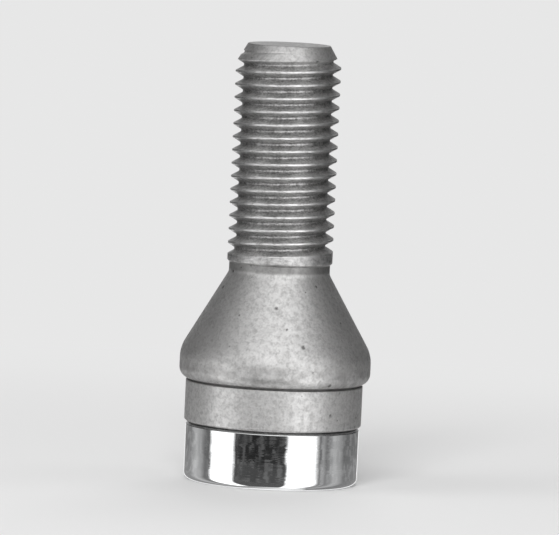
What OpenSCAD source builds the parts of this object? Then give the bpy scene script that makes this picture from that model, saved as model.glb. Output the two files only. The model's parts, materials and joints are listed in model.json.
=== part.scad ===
// Locking wheel bolt with a cone seat. The head's end is at z = 0 and the thread points up.
// All lengths are in millimetres and all angles in degrees.

/* [Thread] */
// Outer diameter of the thread
thread_d = 12; // [11.6:0.1:14]
// Rise of the thread in one turn
thread_pitch = 1.5; // [1:0.25:2]
// Length of the thread, from the neck to the tip
thread_len = 25; // [15:0.5:35]
// Angle between the two flanks of the thread
flank_angle = 60; // [55:1:60]
// Flat crest of the thread, as a share of the pitch
crest_share = 0.125; // [0.125:0.005:0.2]
// Flat root of the thread, as a share of the pitch
root_share = 0.17; // [0.1:0.01:0.25]
// Turns over which the thread runs out at the neck
runout_turns = 0.6; // [0.25:0.05:1.5]
// Diameter of the flat on the tip
tip_d = 9.4; // [8:0.1:10.5]
// Angle of the tip's bevel from the axis
tip_angle = 30; // [20:1:45]
// Straight segments in one turn of the thread
thread_segments = 24; // [18:2:30]

/* [Seat] */
// Largest diameter of the seat
seat_d = 21.8; // [21.2:0.1:25]
// Full angle of the seat's cone
seat_angle = 60; // [50:1:80]
// Radius that rounds the cone into the widest part
seat_round = 4; // [2:0.5:6]
// Radius of the lip at the seat's lower edge
lip_round = 1.3; // [0.8:0.1:1.5]
// Height from the seam to where the cone's rounding starts
lip_h = 2.4; // [2.2:0.1:4]
// Diameter of the neck between seat and thread
neck_d = 11.5; // [10:0.1:11.5]
// Length of the neck, its fillet included
neck_len = 1.1; // [0.8:0.1:4]
// Radius of the fillet between cone and neck
neck_fillet = 1; // [0.4:0.1:2]

/* [Head] */
// Diameter of the plain band below the seat
band_d = 20.2; // [20:0.1:21]
// Height of the band, from the cap's rim to the seam
band_h = 5; // [3:0.5:10]
// Height of the seam's mouth, between band and seat
seam_h = 0.35; // [0.2:0.05:0.5]
// Depth of the seam
seam_depth = 0.25; // [0.1:0.05:0.4]
// Bevel on the band's lower edge
band_bevel = 0.2; // [0.1:0.05:0.4]
// Bevel on the end of the spigot that carries the cap
spigot_bevel = 0.4; // [0.2:0.1:0.6]

/* [Cap] */
// Outer diameter of the cap
cap_d = 19.8; // [19.6:0.1:20]
// Height of the cap
cap_h = 6.5; // [5.5:0.5:9]
// Thickness of the cap's wall
cap_wall = 0.8; // [0.6:0.1:1]
// Radius of the cap's outer edge
cap_edge_round = 0.8; // [0.4:0.1:1]
// Bevel on the cap's rim
cap_rim_bevel = 0.2; // [0.1:0.05:0.3]
// Clearance between the cap and the spigot all round
cap_fit = 0.02; // [0:0.01:0.1]
// Open joint between the cap's rim and the band
cap_joint = 0.15; // [0.05:0.05:0.4]

/* [Key groove] */
// Mean radius of the groove's centre line
key_radius = 5.8; // [5.4:0.1:5.9]
// Height of the three-lobed wave in the centre line
key_wave_three = 0.6; // [0.3:0.05:0.7]
// Height of the four-lobed wave in the centre line
key_wave_four = 0.42; // [0.2:0.02:0.5]
// Width of the groove
key_width = 2; // [1.6:0.1:2.2]
// Depth of the groove from the head's end
key_depth = 4.5; // [3:0.5:5.5]
// How far the island in the groove lies below the head's end
key_island_sink = 0.3; // [0.1:0.1:0.6]
// Clearance between the groove's outer wall and the cap
key_cap_clearance = 0.15; // [0.05:0.05:0.3]
// Points round the groove's outline
key_points = 90; // [60:10:120]

/* [Hidden] */
$fn = 48;
// Each straight piece of a rounded corner turns by up to this angle
arc_step = 7.5;
// Straight cutters reach this far past the faces that they open
cut_over = 1;
// The two waves of the key's line start in these directions. Each pair of directions makes another key.
key_turn_three = 20;
key_turn_four = -65;
// The thread's cutter stands this far out of the crest, and as far again where the thread runs out
cutter_clearance = 0.05;

thread_r = thread_d / 2;
tip_r = tip_d / 2;
seat_r = seat_d / 2;
neck_r = neck_d / 2;
band_r = band_d / 2;
cap_r = cap_d / 2;
spigot_r = cap_r - cap_wall - cap_fit;

// Heights from the head's end, in the order that they follow each other
band_z = cap_h + cap_joint;
seam_z = cap_h + band_h;
lip_z = seam_z + seam_h / 2;
widest_z = seam_z + lip_h;
cone_half = seat_angle / 2;
cone_low_r = seat_r - seat_round * (1 - cos(cone_half));
cone_low_z = widest_z + seat_round * sin(cone_half);
neck_z = cone_low_z + (cone_low_r - neck_r) / tan(cone_half);
thread_z = neck_z + neck_len;
tip_z = thread_z + thread_len;

// The fillet is tangent to the cone and to the neck, this far from the corner where they meet
fillet_reach = neck_fillet * tan(cone_half / 2);
// The lip's rounding starts at the seam's mouth, in this direction from its centre
lip_start_angle = -60;

thread_depth = thread_pitch * (1 - crest_share - root_share) / 2 / tan(flank_angle / 2);
thread_root_r = thread_r - thread_depth;
crest_bevel = thread_r - neck_r;
tip_bevel_h = (thread_r - tip_r) / tan(tip_angle);
// The cutter's outer wall stays outside the crest although it is made of straight segments
cutter_r = (thread_r + cutter_clearance) / cos(180 / thread_segments);

function arc(centre, radius, from, to) =
    let (steps = max(1, ceil(abs(to - from) / arc_step)))
    [for (i = [0 : steps])
        let (a = from + (to - from) * i / steps)
        centre + radius * [cos(a), sin(a)]];

// Half section of the forging, as radius and height, without its thread
function body_outline() = concat(
    [
        [0, cap_wall],
        [spigot_r - spigot_bevel, cap_wall],
        [spigot_r, cap_wall + spigot_bevel],
        [spigot_r, band_z],
        [band_r - band_bevel, band_z],
        [band_r, band_z + band_bevel],
        [band_r, seam_z - seam_h / 2],
        [band_r - seam_depth, seam_z],
    ],
    arc([seat_r - lip_round, lip_z - lip_round * sin(lip_start_angle)], lip_round, lip_start_angle, 0),
    arc([seat_r - seat_round, widest_z], seat_round, 0, cone_half),
    arc([neck_r + neck_fillet, neck_z + fillet_reach], neck_fillet, 180 + cone_half, 180),
    [
        [neck_r, thread_z],
        [thread_r, thread_z + crest_bevel],
        [thread_r, tip_z - tip_bevel_h],
        [tip_r, tip_z],
        [0, tip_z],
    ]
);

// Half section of the pressed cap, as radius and height, with its end wall still closed
function cap_outline() = concat(
    [[0, 0]],
    arc([cap_r - cap_edge_round, cap_edge_round], cap_edge_round, -90, 0),
    [
        [cap_r, cap_h - cap_rim_bevel],
        [cap_r - cap_rim_bevel, cap_h],
        [cap_r - cap_wall, cap_h],
        [cap_r - cap_wall, cap_wall],
        [0, cap_wall],
    ]
);

function key_r(a) =
    key_radius
    + key_wave_three * cos(3 * a + key_turn_three)
    + key_wave_four * cos(4 * a + key_turn_four);

// Change of that radius with the angle, in millimetres a radian
function key_slope(a) =
    -3 * key_wave_three * sin(3 * a + key_turn_three)
    - 4 * key_wave_four * sin(4 * a + key_turn_four);

// Outline of the key groove's centre line, moved outward at right angles by the given distance
function key_outline(distance) =
    [for (i = [0 : key_points - 1])
        let (
            a = 360 * i / key_points,
            r = key_r(a),
            slope = key_slope(a),
            along = [slope * cos(a) - r * sin(a), slope * sin(a) + r * cos(a)]
        )
        r * [cos(a), sin(a)] + distance * [along[1], -along[0]] / norm(along)];

// Closed cutter that follows the thread's helix. It leaves the metal outward at the neck and through the tip.
module thread_cutter() {
    root_half = thread_pitch * root_share / 2;
    mouth_half = root_half + (cutter_r - thread_root_r) * tan(flank_angle / 2);
    turns = (tip_z - thread_z) / thread_pitch + 1;
    steps = ceil(turns * thread_segments);
    runout_steps = runout_turns * thread_segments;
    start_z = thread_z + thread_pitch / 2;
    section = [
        [thread_root_r, -root_half],
        [cutter_r, -mouth_half],
        [cutter_r, mouth_half],
        [thread_root_r, root_half],
    ];
    corners = len(section);
    points = [for (i = [0 : steps])
        let (
            a = 360 * i / thread_segments,
            z = start_z + thread_pitch * i / thread_segments,
            outward = (thread_depth + 2 * cutter_clearance) * max(0, 1 - i / runout_steps)
        )
        for (p = section) [(p[0] + outward) * cos(a), (p[0] + outward) * sin(a), z + p[1]]];
    sides = [for (i = [0 : steps - 1])
        for (j = [0 : corners - 1])
            let (k = (j + 1) % corners, low = i * corners, high = low + corners)
            each [[low + j, low + k, high + k], [low + j, high + k, high + j]]];
    first = [[0, 3, 2], [0, 2, 1]];
    last = [for (f = [[0, 1, 2], [0, 2, 3]]) [for (v = f) steps * corners + v]];
    polyhedron(points = points, faces = concat(sides, first, last), convexity = 10);
}

module bolt_body() {
    color([0.70, 0.70, 0.69])
        difference() {
            union() {
                rotate_extrude()
                    polygon(body_outline());
                translate([0, 0, key_island_sink])
                    linear_extrude(cap_wall)
                        polygon(key_outline(-key_width / 2));
            }
            difference() {
                linear_extrude(key_depth)
                    polygon(key_outline(key_width / 2));
                translate([0, 0, -cut_over])
                    linear_extrude(key_depth + 2 * cut_over)
                        polygon(key_outline(-key_width / 2));
            }
            thread_cutter();
        }
}

module chrome_cap() {
    color([0.90, 0.91, 0.93])
        difference() {
            rotate_extrude()
                polygon(cap_outline());
            translate([0, 0, -cut_over])
                linear_extrude(cap_wall + 2 * cut_over)
                    polygon(key_outline(key_width / 2 + key_cap_clearance));
        }
}

bolt_body();
chrome_cap();
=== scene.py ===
"""Dresses the locking wheel bolt, a coated forging with a chromed cap, and stands it in a plain studio."""
import json
import math

import bmesh
import bpy
from mathutils import Matrix, Vector


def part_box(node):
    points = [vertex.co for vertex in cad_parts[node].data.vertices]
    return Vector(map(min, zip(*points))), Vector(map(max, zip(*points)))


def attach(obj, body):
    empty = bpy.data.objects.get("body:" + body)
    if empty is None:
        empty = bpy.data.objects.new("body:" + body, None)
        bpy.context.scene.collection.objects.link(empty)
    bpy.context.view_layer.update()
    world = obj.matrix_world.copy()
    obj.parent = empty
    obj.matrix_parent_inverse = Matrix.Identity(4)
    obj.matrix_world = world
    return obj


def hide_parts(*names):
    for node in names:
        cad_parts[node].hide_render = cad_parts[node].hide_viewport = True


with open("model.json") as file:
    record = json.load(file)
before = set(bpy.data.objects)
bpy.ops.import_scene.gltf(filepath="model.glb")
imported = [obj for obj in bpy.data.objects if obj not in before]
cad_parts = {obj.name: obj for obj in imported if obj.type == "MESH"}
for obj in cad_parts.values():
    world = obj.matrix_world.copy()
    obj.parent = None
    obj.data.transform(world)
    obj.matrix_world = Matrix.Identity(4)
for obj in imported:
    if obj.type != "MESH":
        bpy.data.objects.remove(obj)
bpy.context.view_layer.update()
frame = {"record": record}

# Sizes of the bolt in metres, by the same rules as the solids

MM = 0.001
record_mounts = {mount["name"]: mount for mount in frame["record"]["mounts"]}

THREAD_R = record_mounts["thread"]["dims"]["r_mm"] * MM
THREAD_LENGTH = record_mounts["thread"]["dims"]["length_mm"] * MM
PITCH = 1.5 * MM
FLANK_ANGLE = math.radians(60)
CREST_SHARE = 0.125
ROOT_SHARE = 0.17
RUNOUT_TURNS = 0.6
RUNOUT_SPARE = 0.1 * MM
TIP_R = 4.7 * MM
TIP_ANGLE = math.radians(30)

NECK_R = 5.75 * MM
SEAT_R = 10.9 * MM
SEAT_ROUND = 4.0 * MM
CONE_HALF = math.radians(30)
LIP_ROUND = 1.3 * MM
LIP_SLOPE = math.radians(30)
LIP_HEIGHT = 2.4 * MM
NECK_FILLET = 1.0 * MM

BAND_R = 10.1 * MM
BAND_HEIGHT = 5.0 * MM
BAND_BEVEL = 0.2 * MM
SEAM_HEIGHT = 0.35 * MM
SEAM_DEPTH = 0.25 * MM
CAP_R = record_mounts["head_side"]["dims"]["r_mm"] * MM
CAP_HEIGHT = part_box("chrome_cap")[1][2]
CAP_WALL = 0.8 * MM
CAP_EDGE_ROUND = 0.8 * MM
CAP_RIM_BEVEL = 0.2 * MM
CAP_FIT = 0.02 * MM
CAP_JOINT = 0.15 * MM
SPIGOT_R = CAP_R - CAP_WALL - CAP_FIT

KEY_RADIUS = 5.8 * MM
# The waves in the key groove's line, as (number of waves round the bolt, height, start)
KEY_WAVES = [(3, 0.6 * MM, math.radians(20)), (4, 0.42 * MM, math.radians(-65))]
KEY_HALF_WIDTH = 1.0 * MM
KEY_DEPTH = 4.5 * MM
KEY_CAP_CLEARANCE = 0.15 * MM
ISLAND_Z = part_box("bolt_body")[0][2]

TIP_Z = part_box("bolt_body")[1][2]
THREAD_Z = TIP_Z - THREAD_LENGTH
BAND_Z = CAP_HEIGHT + CAP_JOINT
SEAM_Z = CAP_HEIGHT + BAND_HEIGHT
WIDEST_Z = SEAM_Z + LIP_HEIGHT
CONE_LOW_R = SEAT_R - SEAT_ROUND * (1 - math.cos(CONE_HALF))
CONE_LOW_Z = WIDEST_Z + SEAT_ROUND * math.sin(CONE_HALF)
NECK_Z = CONE_LOW_Z + (CONE_LOW_R - NECK_R) / math.tan(CONE_HALF)
ROOT_R = THREAD_R - PITCH * (1 - CREST_SHARE - ROOT_SHARE) / 2 / math.tan(FLANK_ANGLE / 2)

# How finely the visible meshes are divided and shaded

COLUMNS = 180
ROWS_PER_TURN = 16
ROUND_STEPS = 8
WELD = 0.002 * MM
SHARP_ANGLE = math.radians(35)
SUPPORT_REACH = 0.08 * MM
LONG_STRETCH = 6 * SUPPORT_REACH
ANGLES = [2 * math.pi * i / COLUMNS for i in range(COLUMNS)]


def swung(arm, a):
    """A flat vector turned by an angle."""
    return Vector((arm.x * math.cos(a) - arm.y * math.sin(a), arm.x * math.sin(a) + arm.y * math.cos(a)))


def rounded(corners):
    """A half section with its corners rounded. Each corner is (radius from the axis, height, rounding)."""
    outline = []
    for i, (r, z, rounding) in enumerate(corners):
        here = Vector((r, z))
        if rounding == 0 or i in (0, len(corners) - 1):
            outline.append(here)
            continue
        back = (Vector(corners[i - 1][:2]) - here).normalized()
        ahead = (Vector(corners[i + 1][:2]) - here).normalized()
        half = back.angle(ahead) / 2
        centre = here + (back + ahead).normalized() * rounding / math.sin(half)
        first = here + back * rounding / math.tan(half) - centre
        last = here + ahead * rounding / math.tan(half) - centre
        sweep = math.atan2(first.x * last.y - first.y * last.x, first.dot(last))
        outline += [centre + swung(first, sweep * step / ROUND_STEPS) for step in range(ROUND_STEPS + 1)]
    return outline


def with_supports(outline):
    """Adds a point just inside each end of every long straight stretch, so that its shading stays flat."""
    full = [outline[0]]
    for a, b in zip(outline, outline[1:]):
        length = (b - a).length
        if length > LONG_STRETCH:
            full += [a.lerp(b, SUPPORT_REACH / length), b.lerp(a, SUPPORT_REACH / length)]
        full.append(b)
    return full


def circle(r, z):
    """One ring of a turned form."""
    return [Vector((r * math.cos(a), r * math.sin(a), z)) for a in ANGLES]


def key_ring(distance, z):
    """One ring that follows the key groove's centre line at a distance outward, at right angles to it."""
    ring = []
    for a in ANGLES:
        r = KEY_RADIUS + sum(height * math.cos(n * a + start) for n, height, start in KEY_WAVES)
        slope = sum(-n * height * math.sin(n * a + start) for n, height, start in KEY_WAVES)
        along = Vector((slope * math.cos(a) - r * math.sin(a), slope * math.sin(a) + r * math.cos(a)))
        out = Vector((along.y, -along.x)).normalized() * distance
        ring.append(Vector((r * math.cos(a) + out.x, r * math.sin(a) + out.y, z)))
    return ring


def lathe_rings(corners):
    """The rings of a turned form, from its half section with rounded corners."""
    return [circle(point.x, point.y) for point in with_supports(rounded(corners))]


def key_rings(corners):
    """Rings that follow the key groove. Each corner is (distance from its centre line, height, rounding)."""
    return [key_ring(point.x, point.y) for point in with_supports(rounded(corners))]


def blend_rings(first, last, shares):
    """Rings between two rings, at the given shares of the way."""
    return [[a.lerp(b, share) for a, b in zip(first, last)] for share in shares]


def loft(bm, rings, closed=False, slot=0):
    """Skins a list of rings with the material of a slot. A ring of one point is a pole."""
    rows = [[bm.verts.new(point) for point in ring] for ring in rings]
    pairs = list(zip(rows, rows[1:])) + ([(rows[-1], rows[0])] if closed else [])
    for low, high in pairs:
        for i in range(COLUMNS):
            k = (i + 1) % COLUMNS
            corners = [low[i % len(low)], low[k % len(low)], high[k % len(high)], high[i % len(high)]]
            bm.faces.new(list(dict.fromkeys(corners))).material_index = slot


def in_scene(name, data):
    """A new object of the scene."""
    thing = bpy.data.objects.new(name, data)
    bpy.context.scene.collection.objects.link(thing)
    return thing


def mesh_object(name, bm, materials):
    """Makes a mesh an object of the scene, with its materials in the order of their slots."""
    mesh = bpy.data.meshes.new(name)
    bm.to_mesh(mesh)
    bm.free()
    for material in materials:
        mesh.materials.append(material)
    return in_scene(name, mesh)


def finished_piece(name, bm, materials):
    """Welds and shades a closed mesh and makes it an object of the scene."""
    bmesh.ops.remove_doubles(bm, verts=bm.verts, dist=WELD)
    bmesh.ops.dissolve_degenerate(bm, edges=bm.edges, dist=WELD / 4)
    bmesh.ops.recalc_face_normals(bm, faces=bm.faces)
    piece = mesh_object(name, bm, materials)
    piece.data.polygons.foreach_set("use_smooth", [True] * len(piece.data.polygons))
    piece.data.set_sharp_from_angle(angle=SHARP_ANGLE)
    return piece


# Short calls for building node trees

NUMBER, WHOLE, VECTOR = "NodeSocketFloat", "NodeSocketInt", "NodeSocketVector"


def feed(tree, socket, value):
    """Links a socket to a socket, or sets it to a plain value."""
    if isinstance(value, bpy.types.NodeSocket):
        tree.links.new(value, socket)
    elif value is not None:
        socket.default_value = value


def add_node(tree, kind, settings=None, **inputs):
    """A node with its settings and its named inputs. An underscore in an input's name stands for a space."""
    node = tree.nodes.new(kind)
    for key, value in (settings or {}).items():
        setattr(node, key, value)
    for key, value in inputs.items():
        feed(tree, node.inputs[key.replace("_", " ")], value)
    return node


def calc(tree, operation, *values):
    """One step of arithmetic."""
    node = add_node(tree, "ShaderNodeMath", {"operation": operation})
    for socket, value in zip(node.inputs, values):
        feed(tree, socket, value)
    return node.outputs[0]


def calc_vectors(tree, operation, first, second):
    """One step of arithmetic on two vectors."""
    node = add_node(tree, "ShaderNodeVectorMath", {"operation": operation})
    feed(tree, node.inputs[0], first)
    feed(tree, node.inputs[1], second)
    return node.outputs["Vector"]


def scaled(tree, vector, scale):
    """A vector times a number."""
    node = add_node(tree, "ShaderNodeVectorMath", {"operation": "SCALE"}, Vector=vector, Scale=scale)
    return node.outputs["Vector"]


def noise(tree, place, scale, detail):
    """The outputs of a cloudy noise."""
    return add_node(tree, "ShaderNodeTexNoise", Vector=place, Scale=scale, Detail=detail).outputs


def own_place(tree):
    """Where a point is in its object's own coordinates, in metres."""
    return tree.nodes.new("ShaderNodeTexCoord").outputs["Object"]


def ramp(tree, value, low, high, out_low=0.0, out_high=1.0):
    """A smooth step from one level to another as the value goes from low to high."""
    ends = {"From_Min": low, "From_Max": high, "To_Min": out_low, "To_Max": out_high}
    return add_node(
        tree, "ShaderNodeMapRange", {"interpolation_type": "SMOOTHSTEP"}, Value=value, **ends
    ).outputs[0]


def mix_values(tree, share, first, second):
    """Mixes two values by a share."""
    return calc(tree, "MULTIPLY_ADD", share, calc(tree, "SUBTRACT", second, first), first)


def mix_colours(tree, share, first, second):
    """Mixes two colours by a share."""
    node = add_node(tree, "ShaderNodeMix", {"data_type": "RGBA"}, Factor=share)
    for name, colour in (("A", first), ("B", second)):
        feed(tree, [s for s in node.inputs if s.name == name and s.type == "RGBA"][0], colour)
    return [s for s in node.outputs if s.type == "RGBA"][0]


def mix_shaders(tree, share, first, second):
    """Mixes two shaders by a share."""
    node = add_node(tree, "ShaderNodeMixShader", Fac=share)
    feed(tree, node.inputs[1], first)
    feed(tree, node.inputs[2], second)
    return node.outputs[0]


def new_group(name, kind, inputs, outputs):
    """An empty node group with its sockets: names with a socket type and, for inputs, a value."""
    group = bpy.data.node_groups.new(name, kind)
    for label, socket_type, value in inputs:
        socket = group.interface.new_socket(label, in_out="INPUT", socket_type=socket_type)
        if value is not None:
            socket.default_value = value
    for label, socket_type in outputs:
        group.interface.new_socket(label, in_out="OUTPUT", socket_type=socket_type)
    return group, group.nodes.new("NodeGroupInput").outputs, group.nodes.new("NodeGroupOutput").inputs


# The rolled thread, a helical surface made by Geometry Nodes


def thread_tree():
    """The tree that turns a flat grid into the thread. Its rows climb one pitch in each turn."""
    tree, given, result = new_group(
        "rolled_thread",
        "GeometryNodeTree",
        [
            ("Geometry", "NodeSocketGeometry", None),
            ("Pitch", NUMBER, PITCH),
            ("Crest Radius", NUMBER, THREAD_R),
            ("Root Radius", NUMBER, ROOT_R),
            ("Neck Radius", NUMBER, NECK_R),
            ("Tip Radius", NUMBER, TIP_R),
            ("Tip Slope", NUMBER, math.tan(TIP_ANGLE)),
            ("Flank Slope", NUMBER, 1 / math.tan(FLANK_ANGLE / 2)),
            ("Root Share", NUMBER, ROOT_SHARE),
            ("Thread Height", NUMBER, THREAD_Z),
            ("Tip Height", NUMBER, TIP_Z),
            ("Low End", NUMBER, THREAD_Z),
            ("High End", NUMBER, TIP_Z),
            ("Run-out Turns", NUMBER, RUNOUT_TURNS),
            ("Run-out Spare", NUMBER, RUNOUT_SPARE),
            ("Crest Softness", NUMBER, 0.03 * MM),
            ("Root Softness", NUMBER, 0.12 * MM),
            ("Columns", WHOLE, COLUMNS),
            ("Rows per Turn", WHOLE, ROWS_PER_TURN),
            ("Weld", NUMBER, WELD),
            ("Material", "NodeSocketMaterial", None),
        ],
        [("Geometry", "NodeSocketGeometry")],
    )
    pitch = given["Pitch"]
    groove_z = calc(tree, "MULTIPLY_ADD", pitch, 0.5, given["Thread Height"])

    # The grid starts below the thread and reaches past its tip. What passes an end is pressed onto it.
    turns_below, spare_turns = 2.0, 3.0
    span = calc(tree, "SUBTRACT", given["High End"], given["Low End"])
    turns = calc(tree, "ADD", calc(tree, "CEIL", calc(tree, "DIVIDE", span, pitch)), spare_turns)
    tall = calc(tree, "MULTIPLY", turns, pitch)
    grid = add_node(
        tree,
        "GeometryNodeMeshGrid",
        Size_X=tall,
        Size_Y=1.0,
        Vertices_X=calc(tree, "MULTIPLY_ADD", turns, given["Rows per Turn"], 1.0),
        Vertices_Y=calc(tree, "ADD", given["Columns"], 1.0),
    )
    spot = tree.nodes.new("GeometryNodeInputPosition").outputs[0]
    place = add_node(tree, "ShaderNodeSeparateXYZ", Vector=spot).outputs
    turn = calc(tree, "ADD", place["Y"], 0.5)
    climb = calc(tree, "MULTIPLY_ADD", tall, 0.5, place["X"])
    first_row = calc(tree, "MULTIPLY_ADD", pitch, -turns_below, groove_z)
    free_z = calc(tree, "ADD", calc(tree, "ADD", climb, first_row), calc(tree, "MULTIPLY", turn, pitch))
    z = calc(tree, "MINIMUM", calc(tree, "MAXIMUM", free_z, given["Low End"]), given["High End"])

    # The groove, from how far a point is from the middle of the nearest turn's root
    rise = calc(tree, "SUBTRACT", calc(tree, "DIVIDE", calc(tree, "SUBTRACT", z, groove_z), pitch), turn)
    nearest = calc(tree, "ROUND", rise)
    off_centre = calc(tree, "ABSOLUTE", calc(tree, "SUBTRACT", rise, nearest))
    past_root = calc(tree, "SUBTRACT", off_centre, calc(tree, "MULTIPLY", given["Root Share"], 0.5))
    flank = calc(tree, "MULTIPLY", calc(tree, "MULTIPLY", past_root, pitch), given["Flank Slope"])
    flank_r = calc(tree, "ADD", flank, given["Root Radius"])
    groove_r = calc(tree, "SMOOTH_MAX", flank_r, given["Root Radius"], given["Root Softness"])

    # The run-out at the neck, where the groove gets shallow until it leaves the metal
    turns_in = calc(tree, "ADD", turn, nearest)
    run_share = calc(tree, "DIVIDE", turns_in, given["Run-out Turns"])
    shallow = calc(tree, "MAXIMUM", calc(tree, "SUBTRACT", 1.0, run_share), 0.0)
    depth = calc(tree, "SUBTRACT", given["Crest Radius"], given["Root Radius"])
    lift = calc(tree, "MULTIPLY", shallow, calc(tree, "ADD", depth, given["Run-out Spare"]))
    lifted_r = calc(tree, "ADD", groove_r, lift)

    # The blank that the groove is rolled into, with its bevels at neck and tip
    above_neck = calc(tree, "MAXIMUM", calc(tree, "SUBTRACT", z, given["Thread Height"]), 0.0)
    bevel_r = calc(tree, "ADD", given["Neck Radius"], above_neck)
    start_r = calc(tree, "MINIMUM", bevel_r, given["Crest Radius"])
    below_tip = calc(tree, "SUBTRACT", given["Tip Height"], z)
    tip_r = calc(tree, "MULTIPLY_ADD", below_tip, given["Tip Slope"], given["Tip Radius"])
    blank_r = calc(tree, "MINIMUM", start_r, tip_r)
    r = calc(tree, "SMOOTH_MIN", blank_r, lifted_r, given["Crest Softness"])

    angle = calc(tree, "MULTIPLY", turn, 2 * math.pi)
    where = add_node(
        tree,
        "ShaderNodeCombineXYZ",
        X=calc(tree, "MULTIPLY", r, calc(tree, "COSINE", angle)),
        Y=calc(tree, "MULTIPLY", r, calc(tree, "SINE", angle)),
        Z=z,
    ).outputs[0]
    mesh = add_node(tree, "GeometryNodeSetPosition", Geometry=grid.outputs["Mesh"], Position=where).outputs[0]
    mesh = add_node(tree, "GeometryNodeMergeByDistance", Geometry=mesh, Distance=given["Weld"]).outputs[0]
    mesh = add_node(tree, "GeometryNodeRealizeInstances", Geometry=mesh).outputs[0]
    mesh = add_node(tree, "GeometryNodeSetMaterial", Geometry=mesh, Material=given["Material"]).outputs[0]
    feed(tree, result["Geometry"], mesh)
    return tree


def mesh_from_tree(name, tree, **values):
    """Runs a Geometry Nodes tree on an empty mesh and returns the result as a plain mesh."""
    holder = in_scene(name, bpy.data.meshes.new(name))
    modifier = holder.modifiers.new(name, "NODES")
    modifier.node_group = tree
    sockets = {item.name: item.identifier for item in tree.interface.items_tree if item.in_out == "INPUT"}
    for key, value in values.items():
        modifier[sockets[key.replace("_", " ")]] = value
    evaluated = holder.evaluated_get(bpy.context.evaluated_depsgraph_get())
    mesh = bpy.data.meshes.new_from_object(evaluated)
    holder.modifiers.remove(modifier)
    bpy.data.objects.remove(holder)
    return mesh


# Shared effects for the materials. All of them work from the object's own coordinates, in millimetres.


def bolt_places_group():
    """A point's place on the bolt in millimetres, its radius, its height and its direction round the axis."""
    tree, _, result = new_group(
        "bolt_places",
        "ShaderNodeTree",
        [],
        [("Place", VECTOR), ("Radius", NUMBER), ("Height", NUMBER), ("Around", VECTOR)],
    )
    place = scaled(tree, own_place(tree), 1 / MM)
    flat = calc_vectors(tree, "MULTIPLY", place, (1, 1, 0))
    length = add_node(tree, "ShaderNodeVectorMath", {"operation": "LENGTH"}, Vector=flat)
    around = add_node(tree, "ShaderNodeVectorMath", {"operation": "NORMALIZE"}, Vector=flat)
    feed(tree, result["Place"], place)
    feed(tree, result["Radius"], length.outputs["Value"])
    feed(tree, result["Height"], add_node(tree, "ShaderNodeSeparateXYZ", Vector=place).outputs["Z"])
    feed(tree, result["Around"], around.outputs["Vector"])
    return tree


def mottle_group():
    """Soft patches from 0 to 1."""
    tree, given, result = new_group(
        "mottle",
        "ShaderNodeTree",
        [("Place", VECTOR, None), ("Patches per mm", NUMBER, 1.0), ("Contrast", NUMBER, 0.2)],
        [("Value", NUMBER)],
    )
    cloud = noise(tree, given["Place"], given["Patches per mm"], 4.0)["Fac"]
    low = calc(tree, "SUBTRACT", 0.5, given["Contrast"])
    high = calc(tree, "ADD", 0.5, given["Contrast"])
    feed(tree, result["Value"], ramp(tree, cloud, low, high))
    return tree


def pits_group():
    """Small uneven pits: 1 in a pit and 0 between them. Only a share of the cells holds one."""
    tree, given, result = new_group(
        "pits",
        "ShaderNodeTree",
        [
            ("Place", VECTOR, None),
            ("Cells per mm", NUMBER, 2.0),
            ("Size", NUMBER, 0.25),
            ("Share", NUMBER, 0.4),
        ],
        [("Value", NUMBER)],
    )
    uneven = scaled(tree, noise(tree, given["Place"], 5.0, 2.0)["Color"], 0.25)
    place = calc_vectors(tree, "ADD", given["Place"], uneven)
    cells = add_node(tree, "ShaderNodeTexVoronoi", Vector=place, Scale=given["Cells per mm"]).outputs
    chance = add_node(tree, "ShaderNodeSeparateColor", Color=cells["Color"]).outputs
    holds_one = calc(tree, "LESS_THAN", chance["Red"], given["Share"])
    large = calc(tree, "MULTIPLY", chance["Green"], chance["Green"])
    size = calc(tree, "MULTIPLY", given["Size"], calc(tree, "MULTIPLY_ADD", large, 1.1, 0.3))
    depth = ramp(tree, cells["Distance"], size, calc(tree, "MULTIPLY", size, 0.4))
    feed(tree, result["Value"], calc(tree, "MULTIPLY", depth, holds_one))
    return tree


def rub_marks_group():
    """Fine marks that run round the axis, from 0 to 1."""
    tree, given, result = new_group(
        "rub_marks",
        "ShaderNodeTree",
        [
            ("Around", VECTOR, None),
            ("Radius", NUMBER, 0.0),
            ("Height", NUMBER, 0.0),
            ("Lines per mm", NUMBER, 6.0),
            ("Length", NUMBER, 1.0),
        ],
        [("Value", NUMBER)],
    )
    across = add_node(
        tree,
        "ShaderNodeCombineXYZ",
        X=calc(tree, "MULTIPLY", given["Radius"], given["Lines per mm"]),
        Z=calc(tree, "MULTIPLY", given["Height"], given["Lines per mm"]),
    ).outputs["Vector"]
    along = scaled(tree, given["Around"], calc(tree, "DIVIDE", 3.0, given["Length"]))
    streaks = noise(tree, calc_vectors(tree, "ADD", across, along), 1.0, 3.0)["Fac"]
    feed(tree, result["Value"], ramp(tree, streaks, 0.35, 0.65))
    return tree


PLACES = bolt_places_group()
MOTTLE = mottle_group()
PITS = pits_group()
RUBS = rub_marks_group()


def use(tree, group, **inputs):
    """Places a shared group in a tree and returns its outputs."""
    return add_node(tree, "ShaderNodeGroup", {"node_tree": group}, **inputs).outputs


def mottle(tree, at, patches, contrast):
    """Soft patches, so many to a millimetre."""
    return use(tree, MOTTLE, Place=at["Place"], Patches_per_mm=patches, Contrast=contrast)["Value"]


def pits(tree, at, cells, size, share):
    """Pits in a share of the cells, with so many cells to a millimetre."""
    return use(tree, PITS, Place=at["Place"], Cells_per_mm=cells, Size=size, Share=share)["Value"]


def rub_marks(tree, at, lines, length):
    """Marks that run round the axis, so many to a millimetre. The greater the length, the longer they are."""
    spot = {name: at[name] for name in ("Around", "Radius", "Height")}
    return use(tree, RUBS, Lines_per_mm=lines, Length=length, **spot)["Value"]


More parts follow.
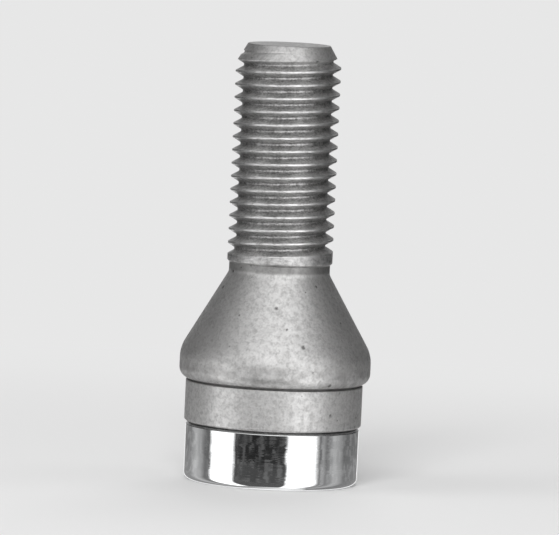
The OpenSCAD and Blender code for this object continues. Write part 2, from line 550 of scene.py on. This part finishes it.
def near_height(tree, at, height, outer, inner):
    """1 within the inner distance from a height and 0 beyond the outer one, all in millimetres."""
    off = calc(tree, "ABSOLUTE", calc(tree, "SUBTRACT", at["Height"], height))
    return ramp(tree, off, outer, inner)


def cover(tree, colour, mask, share, tone):
    """Covers a colour with a tone, by a mask and up to a share."""
    return mix_colours(tree, calc(tree, "MULTIPLY", mask, share), colour, tone)


def grey(level, warmth=0.0):
    """A grey, a little warm or cold."""
    return (level * (1 + warmth), level, level * (1 - warmth), 1.0)


def new_material(name, **fixed):
    """A material with a Principled shader whose plain values are set on its own sockets."""
    material = bpy.data.materials.new(name)
    material.use_nodes = True
    tree = material.node_tree
    shader = tree.nodes["Principled BSDF"]
    for key, value in fixed.items():
        shader.inputs[key.replace("_", " ")].default_value = value
    return material, tree, shader.inputs


def add_bump(tree, sockets, height, distance, strength):
    """Raises the surface by the height, over a distance in metres."""
    bump = add_node(tree, "ShaderNodeBump", Height=height, Distance=distance, Strength=strength)
    feed(tree, sockets["Normal"], bump.outputs["Normal"])


# Heights and radii in millimetres, as the materials read them

JOINT_MM, SEAM_MM, THREAD_MM, TIP_MM = (z / MM for z in (CAP_HEIGHT, SEAM_Z, THREAD_Z, TIP_Z))
ROOT_R_MM, CREST_R_MM = ROOT_R / MM, THREAD_R / MM


def coat_colour(tree, at, broad, fine, grain, pitted):
    """The pale coat of cone, band and tip, with grime round the lip, and grime and painted shade in the seam
    and the joint.
    """
    scuffs = rub_marks(tree, at, lines=1.6, length=0.35)
    colour = mix_colours(tree, broad, grey(0.6, 0.008), grey(0.7, 0.008))
    colour = cover(tree, colour, fine, 0.7, grey(0.42, 0.01))
    colour = cover(tree, colour, grain, 0.45, grey(0.82, 0.005))
    colour = cover(tree, colour, ramp(tree, scuffs, 0.9, 1.0), 0.12, grey(0.3, 0.01))
    colour = cover(tree, colour, pitted, 0.85, grey(0.12, 0.02))

    blotches = mottle(tree, at, patches=0.75, contrast=0.1)
    on_lip = near_height(tree, at, SEAM_MM + 1.1, outer=1.9, inner=0.5)
    grime = calc(tree, "MULTIPLY", blotches, on_lip)
    colour = cover(tree, colour, grime, 0.35, grey(0.3, 0.02))

    # Painted shade, with some grime, darkens the seam under the seat and the joint above the cap
    in_seam = near_height(tree, at, SEAM_MM, outer=0.22, inner=0.06)
    in_joint = near_height(tree, at, JOINT_MM, outer=0.25, inner=0.12)
    return cover(tree, colour, calc(tree, "MAXIMUM", in_seam, in_joint), 0.75, grey(0.08, 0.03))


def thread_colour(tree, at, fine, grain, rubs, crest_wear_and_highlight):
    """The thread and the collar at its foot: painted shade darkens the root, and the crest's bright colour is
    partly wear and partly a painted highlight.
    """
    # Painted shade: the colour darkens from the crest down into the root
    root_shade_ramp = ramp(tree, at["Radius"], ROOT_R_MM, CREST_R_MM - 0.05)
    colour = mix_colours(tree, root_shade_ramp, grey(0.28, 0.006), grey(0.62, 0.006))
    colour = cover(tree, colour, fine, 0.6, grey(0.2, 0.008))
    colour = cover(tree, colour, grain, 0.5, grey(0.78, 0.006))
    colour = cover(tree, colour, ramp(tree, rubs, 0.6, 0.95), 0.3, grey(0.88, 0.006))
    # Partly wear and partly a painted highlight: the crest turns bright
    return mix_colours(tree, crest_wear_and_highlight, colour, grey(0.9, 0.003))


def zinc_flake_steel():
    """The forging's coat: pale and matt on cone and band, darker in the thread with painted shade in its
    root, and bright on its crests from wear and a painted highlight.
    """
    material, tree, sockets = new_material("zinc_flake_steel")
    at = use(tree, PLACES)
    broad = mottle(tree, at, patches=0.4, contrast=0.3)
    fine = mottle(tree, at, patches=1.7, contrast=0.16)
    grain = mottle(tree, at, patches=4.0, contrast=0.15)
    pitted = pits(tree, at, cells=0.95, size=0.24, share=0.24)
    rubs = rub_marks(tree, at, lines=4.0, length=0.5)

    # The tip's bevel and face have no thread, and keep the pale coat
    past_neck = ramp(tree, at["Height"], THREAD_MM - 0.3, THREAD_MM + 0.9)
    on_tip = ramp(tree, at["Height"], TIP_MM - 2.4, TIP_MM - 1.6)
    threaded = calc(tree, "MULTIPLY", past_neck, calc(tree, "SUBTRACT", 1.0, on_tip))

    # The crest has patches of wear, and hardly any on the collar; its bright colour is partly wear and partly
    # a painted highlight
    on_crest = ramp(tree, at["Radius"], CREST_R_MM - 0.16, CREST_R_MM - 0.03)
    past_collar = ramp(tree, at["Height"], THREAD_MM + 1.0, THREAD_MM + 1.6)
    crest_rubs_and_highlight = calc(tree, "MULTIPLY", on_crest, calc(tree, "MULTIPLY_ADD", rubs, 0.85, 0.15))
    crest_wear_and_highlight = calc(tree, "MULTIPLY", crest_rubs_and_highlight, calc(tree, "MULTIPLY_ADD", past_collar, 0.85, 0.15))

    coat = coat_colour(tree, at, broad, fine, grain, pitted)
    upper = mix_colours(tree, on_tip, thread_colour(tree, at, fine, grain, rubs, crest_wear_and_highlight), coat)
    colour = mix_colours(tree, past_neck, coat, upper)

    # Painted shade in the corner under the collar, and a painted shade that darkens the end face
    in_corner = near_height(tree, at, THREAD_MM - 0.3, outer=0.7, inner=0.3)
    painted_collar_shade = calc(tree, "MULTIPLY", in_corner, calc(tree, "MULTIPLY_ADD", broad, 0.2, 0.45))
    colour = mix_colours(tree, painted_collar_shade, colour, grey(0.12, 0.02))
    # Painted shade darkens the end face
    on_end = ramp(tree, at["Height"], TIP_MM - 0.1, TIP_MM - 0.02)
    colour = cover(tree, colour, on_end, 0.35, grey(0.25, 0.01))
    feed(tree, sockets["Base Color"], colour)

    feed(tree, sockets["Metallic"], ramp(tree, threaded, 0.0, 1.0, 0.85, 0.9))
    coat_rough = ramp(tree, broad, 0.0, 1.0, 0.44, 0.38)
    coat_rough = calc(tree, "ADD", coat_rough, calc(tree, "MULTIPLY", fine, 0.08))
    thread_rough = ramp(tree, crest_wear_and_highlight, 0.0, 1.0, 0.38, 0.28)
    feed(tree, sockets["Roughness"], mix_values(tree, threaded, coat_rough, thread_rough))

    relief = calc(tree, "ADD", calc(tree, "MULTIPLY", grain, 0.25), calc(tree, "MULTIPLY", fine, 0.5))
    marks = calc(tree, "MULTIPLY", calc(tree, "MULTIPLY", rubs, threaded), 1.2)
    relief = calc(tree, "SUBTRACT", calc(tree, "ADD", relief, marks), pitted)
    add_bump(tree, sockets, relief, 0.02 * MM, 0.6)
    return material


def plated_key_steel():
    """The key groove and its island: plated, satin, pitted, and with painted shade that darkens it towards
    the groove's floor.
    """
    material, tree, sockets = new_material("plated_key_steel", Metallic=1.0)
    at = use(tree, PLACES)
    broad = mottle(tree, at, patches=0.6, contrast=0.18)
    fine = mottle(tree, at, patches=5.0, contrast=0.16)
    pitted = pits(tree, at, cells=1.8, size=0.18, share=0.3)
    turned = rub_marks(tree, at, lines=7.0, length=1.6)
    colour = mix_colours(tree, broad, grey(0.55), grey(0.66))
    colour = cover(tree, colour, pitted, 0.5, grey(0.25, 0.02))
    # Painted shade: the groove darkens towards its floor
    painted_groove_shade = ramp(tree, at["Height"], 0.5, KEY_DEPTH / MM)
    colour = cover(tree, colour, painted_groove_shade, 0.6, grey(0.3, 0.02))
    feed(tree, sockets["Base Color"], colour)

    satin = calc(tree, "MULTIPLY_ADD", fine, 0.06, 0.24)
    feed(tree, sockets["Roughness"], calc(tree, "MULTIPLY_ADD", turned, 0.12, satin))
    relief = calc(tree, "MULTIPLY_ADD", turned, 0.6, calc(tree, "MULTIPLY", fine, 0.3))
    add_bump(tree, sockets, calc(tree, "SUBTRACT", relief, pitted), 0.012 * MM, 0.5)
    return material


def chrome_plate():
    """The cap: polished chrome with hairlines, faint ripples and a few specks."""
    material, tree, sockets = new_material("chrome_plate", Metallic=1.0)
    at = use(tree, PLACES)
    broad = mottle(tree, at, patches=0.25, contrast=0.2)
    fine = mottle(tree, at, patches=1.6, contrast=0.1)
    specks = pits(tree, at, cells=0.8, size=0.1, share=0.25)
    hairlines = rub_marks(tree, at, lines=9.0, length=2.2)
    ripples = rub_marks(tree, at, lines=0.7, length=4.0)
    colour = mix_colours(tree, broad, grey(0.84, -0.008), grey(0.9, -0.008))
    feed(tree, sockets["Base Color"], cover(tree, colour, specks, 0.6, grey(0.35)))

    smooth = calc(tree, "MULTIPLY_ADD", fine, 0.015, 0.015)
    smooth = calc(tree, "MULTIPLY_ADD", hairlines, 0.02, smooth)
    feed(tree, sockets["Roughness"], calc(tree, "MULTIPLY_ADD", specks, 0.3, smooth))
    relief = calc(tree, "MULTIPLY_ADD", hairlines, 0.01, calc(tree, "MULTIPLY", ripples, 0.35))
    relief = calc(tree, "ADD", broad, relief)
    add_bump(tree, sockets, relief, 0.01 * MM, 0.35)
    return material


# The forging

COAT = zinc_flake_steel()
KEY_STEEL = plated_key_steel()
CHROME = chrome_plate()

# The thread's own mesh ends here, just below the rounded edge of the end face
TIP_START_Z = TIP_Z - 0.25 * MM


def key_groove_rings():
    """From the middle of the island, over its edge, through the groove and out to the forging's end face."""
    half, cut_edge, foot = KEY_HALF_WIDTH, 0.18 * MM, 0.25 * MM
    wall = key_rings(
        [
            (-half - 2 * cut_edge, ISLAND_Z, 0),
            (-half, ISLAND_Z, cut_edge),
            (-half, KEY_DEPTH, foot),
            (half, KEY_DEPTH, foot),
            (half, CAP_WALL, cut_edge / 2),
            (half + 2 * cut_edge, CAP_WALL, 0),
        ]
    )
    pole = [Vector((0, 0, ISLAND_Z))]
    island = blend_rings(pole * COLUMNS, wall[0], (0.15, 0.35, 0.55, 0.75, 0.9))
    return [pole] + island + wall


def turned_body_rings():
    """From the spigot's end face over spigot, band, seam, lip and cone to the neck."""
    lip_z = SEAM_Z + SEAM_HEIGHT / 2
    lip_reach = LIP_ROUND * math.sin(LIP_SLOPE)
    return lathe_rings(
        [
            (SPIGOT_R - 1.0 * MM, CAP_WALL, 0),
            (SPIGOT_R, CAP_WALL, 0.3 * MM),
            (SPIGOT_R, BAND_Z, 0.05 * MM),
            (BAND_R - BAND_BEVEL, BAND_Z, 0.05 * MM),
            (BAND_R, BAND_Z + BAND_BEVEL, 0.15 * MM),
            (BAND_R, SEAM_Z - SEAM_HEIGHT / 2, 0.08 * MM),
            (BAND_R - SEAM_DEPTH, SEAM_Z, 0.05 * MM),
            (SEAT_R - lip_reach, lip_z, 0),
            (SEAT_R, lip_z + lip_reach * math.tan(LIP_SLOPE), LIP_ROUND),
            (SEAT_R, WIDEST_Z + SEAT_ROUND * math.tan(CONE_HALF / 2), SEAT_ROUND),
            (NECK_R, NECK_Z, NECK_FILLET),
            (NECK_R, THREAD_Z, 0),
        ]
    )


def forging():
    """One closed mesh from the island in the key groove to the tip of the thread."""
    bm = bmesh.new()
    thread = mesh_from_tree("thread", thread_tree(), High_End=TIP_START_Z, Material=COAT)
    bm.from_mesh(thread)
    bpy.data.meshes.remove(thread)

    # The thread wears the coat, which is in the first slot
    for face in bm.faces:
        face.material_index = 0

    groove = key_groove_rings()
    body = turned_body_rings()
    loft(bm, groove, slot=1)
    loft(bm, [groove[-1]] + blend_rings(groove[-1], body[0], (0.5,)) + body)

    tip_start_r = TIP_R + (TIP_Z - TIP_START_Z) * math.tan(TIP_ANGLE)
    tip = lathe_rings([(tip_start_r, TIP_START_Z, 0), (TIP_R, TIP_Z, 0.12 * MM), (TIP_R * 0.3, TIP_Z, 0)])
    loft(bm, tip + [[Vector((0, 0, TIP_Z))]])
    return finished_piece("forged_bolt", bm, [COAT, KEY_STEEL])


# The cap


def pressed_cap():
    """The thin shell over the spigot. Its end is pierced to the outline of the key groove."""
    hole, edge = KEY_HALF_WIDTH + KEY_CAP_CLEARANCE, 0.12 * MM
    pierced = key_rings(
        [
            (hole + 3 * edge, CAP_WALL, 0),
            (hole, CAP_WALL, edge / 3),
            (hole, 0, edge * 1.5),
            (hole + 3 * edge, 0, 0),
        ]
    )
    inner_r = CAP_R - CAP_WALL
    shell = lathe_rings(
        [
            (inner_r - 0.4 * MM, 0, 0),
            (CAP_R, 0, CAP_EDGE_ROUND),
            (CAP_R, CAP_HEIGHT - CAP_RIM_BEVEL, 0.1 * MM),
            (CAP_R - CAP_RIM_BEVEL, CAP_HEIGHT, 0.06 * MM),
            (inner_r, CAP_HEIGHT, 0.05 * MM),
            (inner_r, CAP_WALL, 0),
            (inner_r - 0.4 * MM, CAP_WALL, 0),
        ]
    )
    outside = blend_rings(pierced[-1], shell[0], (0.33, 0.66))
    inside = blend_rings(shell[-1], pierced[0], (0.5,))
    bm = bmesh.new()
    loft(bm, pierced + outside + shell + inside, closed=True)
    return finished_piece("pressed_cap", bm, [CHROME])


bolt = forging()
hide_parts("bolt_body")
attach(bolt, "root")

cap = pressed_cap()
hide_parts("chrome_cap")
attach(cap, "root")


# The studio: a plain pale floor, soft light and the camera, with its lengths in metres

# Tone of the floor and of what shows behind it, and the even fill of light
FLOOR_LEVEL = 0.8
FILL_LEVEL = 0.34

# The floor is a disc under the bolt with a wide ring round it, which fades into the backdrop's tone
FLOOR_Z = -0.02 * MM
NEAR_FLOOR_R = 0.0112
FAR_FLOOR_R = 6.0
FADE_START_R, FADE_END_R = 0.03, 0.15

# Soft lamps, as (name, direction from the bolt, distance, width, power)
LAMPS = [
    ("front_softbox", (-0.15, -1, 0.6), 0.9, 0.45, 5.6),
    ("left_softbox", (-1, -0.3, 0.8), 0.8, 0.4, 1.0),
    ("right_softbox", (1, 0.2, 0.8), 0.8, 0.4, 0.5),
    ("back_softbox", (0.2, 1, 0.9), 0.9, 0.6, 2.4),
]

# What metal sees round it, as (direction in degrees, 0 at the front and positive to the right, brightness).
# The low cards show in the cap and the high ones, a wide softbox above the camera, on cone and thread.
LOW_CARDS = [
    (-180, 1.1), (-166, 1.1), (-160, 0.2), (-132, 0.2), (-115, 0.45), (-103, 0.3), (-95, 0.12), (-87, 0.12),
    (-82, 1.5), (-51, 1.5), (-47, 0.03), (-20, 0.02), (18, 0.03), (22, 1.5), (58, 1.5), (62, 0.5),
    (66, 0.12), (71, 0.32), (76, 0.16), (82, 0.24), (89, 0.4), (102, 0.3), (110, 0.14), (132, 0.16),
    (160, 0.2), (166, 1.1), (180, 1.1),
]
HIGH_CARDS = [
    (-180, 0.75), (-165, 0.35), (-140, 0.02), (-110, 0.0), (-86, 0.06), (-58, 0.55), (-26, 1.0),
    (10, 1.3), (42, 1.25), (62, 0.4), (82, 0.02), (110, 0.0), (145, 0.0), (165, 0.3), (180, 0.75),
]
CARD_RING_R = 0.12
CARD_LOW_Z, CARD_HIGH_Z = -0.25, 0.3
LID_RISE = 0.04

# The low cards give way to the high ones between these heights
LOW_END_Z, HIGH_START_Z = -0.0025, 0.008

# Further down they get a trace of light, which shows in the foot of the cap
TRACE_START_Z, TRACE_END_Z = -0.0085, -0.0105
TRACE_LEVEL = 0.05

# Folds in the cards: how many to a radian and to a metre of height, their light and their sideways pull
FOLDS_ROUND, FOLDS_UP = 7.0, 0.9 / MM
FOLD_LEVEL = 0.08
FOLD_PULL = 0.12

# The lids' brightness at their left and right ends
TOP_LID = (0.8, 0.0)
FOOT_LID = (0.3, 1.1)

CAMERA_ELEVATION = math.radians(4.9)
CAMERA_LEAN = math.radians(2.6)
CAMERA_DISTANCE = 0.9
CAMERA_TARGET = Vector((0, 0, 0.0245))
FRAME_WIDTH = 0.0637
SENSOR_WIDTH_MM = 36


def background_rays(tree):
    """1 for the rays that show the background: the camera's own, and those that metal and glass send on."""
    rays = tree.nodes.new("ShaderNodeLightPath").outputs
    sent_on = calc(tree, "MAXIMUM", rays["Is Glossy Ray"], rays["Is Transmission Ray"])
    return calc(tree, "MAXIMUM", rays["Is Camera Ray"], sent_on)


def pale_floor():
    """A pale matt floor that fades into the backdrop's tone and is clear when it is seen from below."""
    material, tree, _ = new_material(
        "pale_floor", Base_Color=grey(FLOOR_LEVEL), Roughness=0.9, Specular_IOR_Level=0.2
    )
    off_axis = add_node(tree, "ShaderNodeVectorMath", {"operation": "LENGTH"}, Vector=own_place(tree))
    far_off = ramp(tree, off_axis.outputs["Value"], FADE_START_R, FADE_END_R)
    faded = calc(tree, "MULTIPLY", far_off, background_rays(tree))
    matt = tree.nodes["Principled BSDF"].outputs["BSDF"]
    backdrop = add_node(tree, "ShaderNodeEmission", Color=grey(FLOOR_LEVEL)).outputs[0]
    clear = tree.nodes.new("ShaderNodeBsdfTransparent").outputs["BSDF"]
    from_below = tree.nodes.new("ShaderNodeNewGeometry").outputs["Backfacing"]
    surface = mix_shaders(tree, from_below, mix_shaders(tree, faded, matt, backdrop), clear)
    feed(tree, tree.nodes["Material Output"].inputs["Surface"], surface)
    return material


def stage_object(name, bm, material):
    """Makes a mesh an object of the scene, with its one material."""
    thing = mesh_object(name, bm, [material])
    return thing


def make_floor():
    """A floor that takes the bolt's shadow. Its disc under the bolt lets light through to the end face."""
    material = pale_floor()
    near = bmesh.new()
    loft(near, [circle(NEAR_FLOOR_R, FLOOR_Z), [Vector((0, 0, FLOOR_Z))]])
    under = stage_object("floor_under_bolt", near, material)
    under.visible_glossy = under.visible_diffuse = under.visible_shadow = False
    far = bmesh.new()
    loft(far, [circle(r, FLOOR_Z) for r in (FAR_FLOOR_R, NEAR_FLOOR_R)])
    stage_object("floor", far, material).visible_glossy = False


def card_level(tree, angle, cards):
    """Brightness by direction, in straight steps from one card's edge to the next."""
    share = calc(tree, "MULTIPLY_ADD", angle, 0.5 / math.pi, 0.5)
    node = add_node(tree, "ShaderNodeFloatCurve", Value=share)
    brightest = max(level for _, level in cards)
    curve = node.mapping.curves[0]
    for i, (degrees, level) in enumerate(cards):
        spot = (degrees / 360 + 0.5, level / brightest)
        point = curve.points[i] if i < 2 else curve.points.new(*spot)
        point.location = spot
        point.handle_type = "VECTOR"
    node.mapping.update()
    return calc(tree, "MULTIPLY", node.outputs[0], brightest)


def ring_level(tree, place):
    """Brightness of the ring, with faint folds and uneven edges in the low cards."""
    angle = calc(tree, "ARCTAN2", place["X"], calc(tree, "MULTIPLY", place["Y"], -1.0))
    spread = add_node(
        tree,
        "ShaderNodeCombineXYZ",
        X=calc(tree, "MULTIPLY", angle, FOLDS_ROUND),
        Z=calc(tree, "MULTIPLY", place["Z"], FOLDS_UP),
    ).outputs["Vector"]
    folds = noise(tree, spread, 1.0, 1.0)["Fac"]
    trace = ramp(tree, place["Z"], TRACE_START_Z, TRACE_END_Z, 0.0, TRACE_LEVEL)
    faint = calc(tree, "MULTIPLY_ADD", ramp(tree, folds, 0.46, 0.62), FOLD_LEVEL, trace)
    pulled = calc(tree, "MULTIPLY_ADD", calc(tree, "SUBTRACT", folds, 0.5), FOLD_PULL, angle)
    low = calc(tree, "ADD", card_level(tree, pulled, LOW_CARDS), faint)
    high = card_level(tree, angle, HIGH_CARDS)
    return mix_values(tree, ramp(tree, place["Z"], LOW_END_Z, HIGH_START_Z), low, high)


def make_cards():
    """A ring of white, grey and black cards with a lid above and below. Only reflections show it."""
    material = bpy.data.materials.new("card_light")
    material.use_nodes = True
    tree = material.node_tree
    tree.nodes.clear()
    place = add_node(tree, "ShaderNodeSeparateXYZ", Vector=own_place(tree)).outputs
    top, foot = (ramp(tree, place["X"], -CARD_RING_R, CARD_RING_R, *lid) for lid in (TOP_LID, FOOT_LID))
    past_top = calc(tree, "GREATER_THAN", place["Z"], CARD_HIGH_Z + MM)
    past_foot = calc(tree, "LESS_THAN", place["Z"], CARD_LOW_Z - MM)
    level = mix_values(tree, past_foot, mix_values(tree, past_top, ring_level(tree, place), top), foot)
    glow = add_node(tree, "ShaderNodeEmission", Strength=level).outputs[0]
    feed(tree, tree.nodes.new("ShaderNodeOutputMaterial").inputs["Surface"], glow)

    bm = bmesh.new()
    ends = [[Vector((0, 0, z))] for z in (CARD_LOW_Z - LID_RISE, CARD_HIGH_Z + LID_RISE)]
    loft(bm, ends[:1] + [circle(CARD_RING_R, z) for z in (CARD_LOW_Z, CARD_HIGH_Z)] + ends[1:])
    ring = stage_object("studio_cards", bm, material)
    ring.visible_camera = ring.visible_diffuse = ring.visible_shadow = False
    ring.visible_transmission = ring.visible_volume_scatter = False


def make_lamp(name, direction, distance, width, power):
    """A soft square lamp that looks at the bolt. Polished metal sees the cards instead of it."""
    light = bpy.data.lights.new(name, "AREA")
    light.size = width
    light.energy = power
    lamp = in_scene(name, light)
    lamp.location = Vector(direction).normalized() * distance
    lamp.rotation_euler = Vector(direction).to_track_quat("Z", "Y").to_euler()
    lamp.visible_glossy = False


def make_world():
    """An even fill of light, and the floor's tone wherever the background shows."""
    world = bpy.data.worlds.new("studio")
    bpy.context.scene.world = world
    world.use_nodes = True
    tree = world.node_tree
    tree.nodes.clear()
    fill, seen = (
        add_node(tree, "ShaderNodeBackground", Color=grey(level), Strength=1.0).outputs[0]
        for level in (FILL_LEVEL, FLOOR_LEVEL)
    )
    surface = mix_shaders(tree, background_rays(tree), fill, seen)
    feed(tree, tree.nodes.new("ShaderNodeOutputWorld").inputs["Surface"], surface)


def make_camera():
    """A long lens from the front. The lean turns the picture, so the bolt's tip goes to the right."""
    data = bpy.data.cameras.new("camera")
    data.sensor_width = SENSOR_WIDTH_MM
    data.lens = SENSOR_WIDTH_MM * CAMERA_DISTANCE / FRAME_WIDTH
    data.clip_start, data.clip_end = 0.01, 50
    camera = in_scene("camera", data)
    back = Vector((0, -math.cos(CAMERA_ELEVATION), math.sin(CAMERA_ELEVATION)))
    camera.location = CAMERA_TARGET + back * CAMERA_DISTANCE
    aim = (-back).to_track_quat("-Z", "Y").to_matrix().to_4x4()
    camera.rotation_euler = (aim @ Matrix.Rotation(CAMERA_LEAN, 4, "Z")).to_euler()
    bpy.context.scene.camera = camera


make_floor()
make_cards()
for lamp_values in LAMPS:
    make_lamp(*lamp_values)
make_world()
make_camera()
bpy.context.scene.view_settings.view_transform = "Standard"
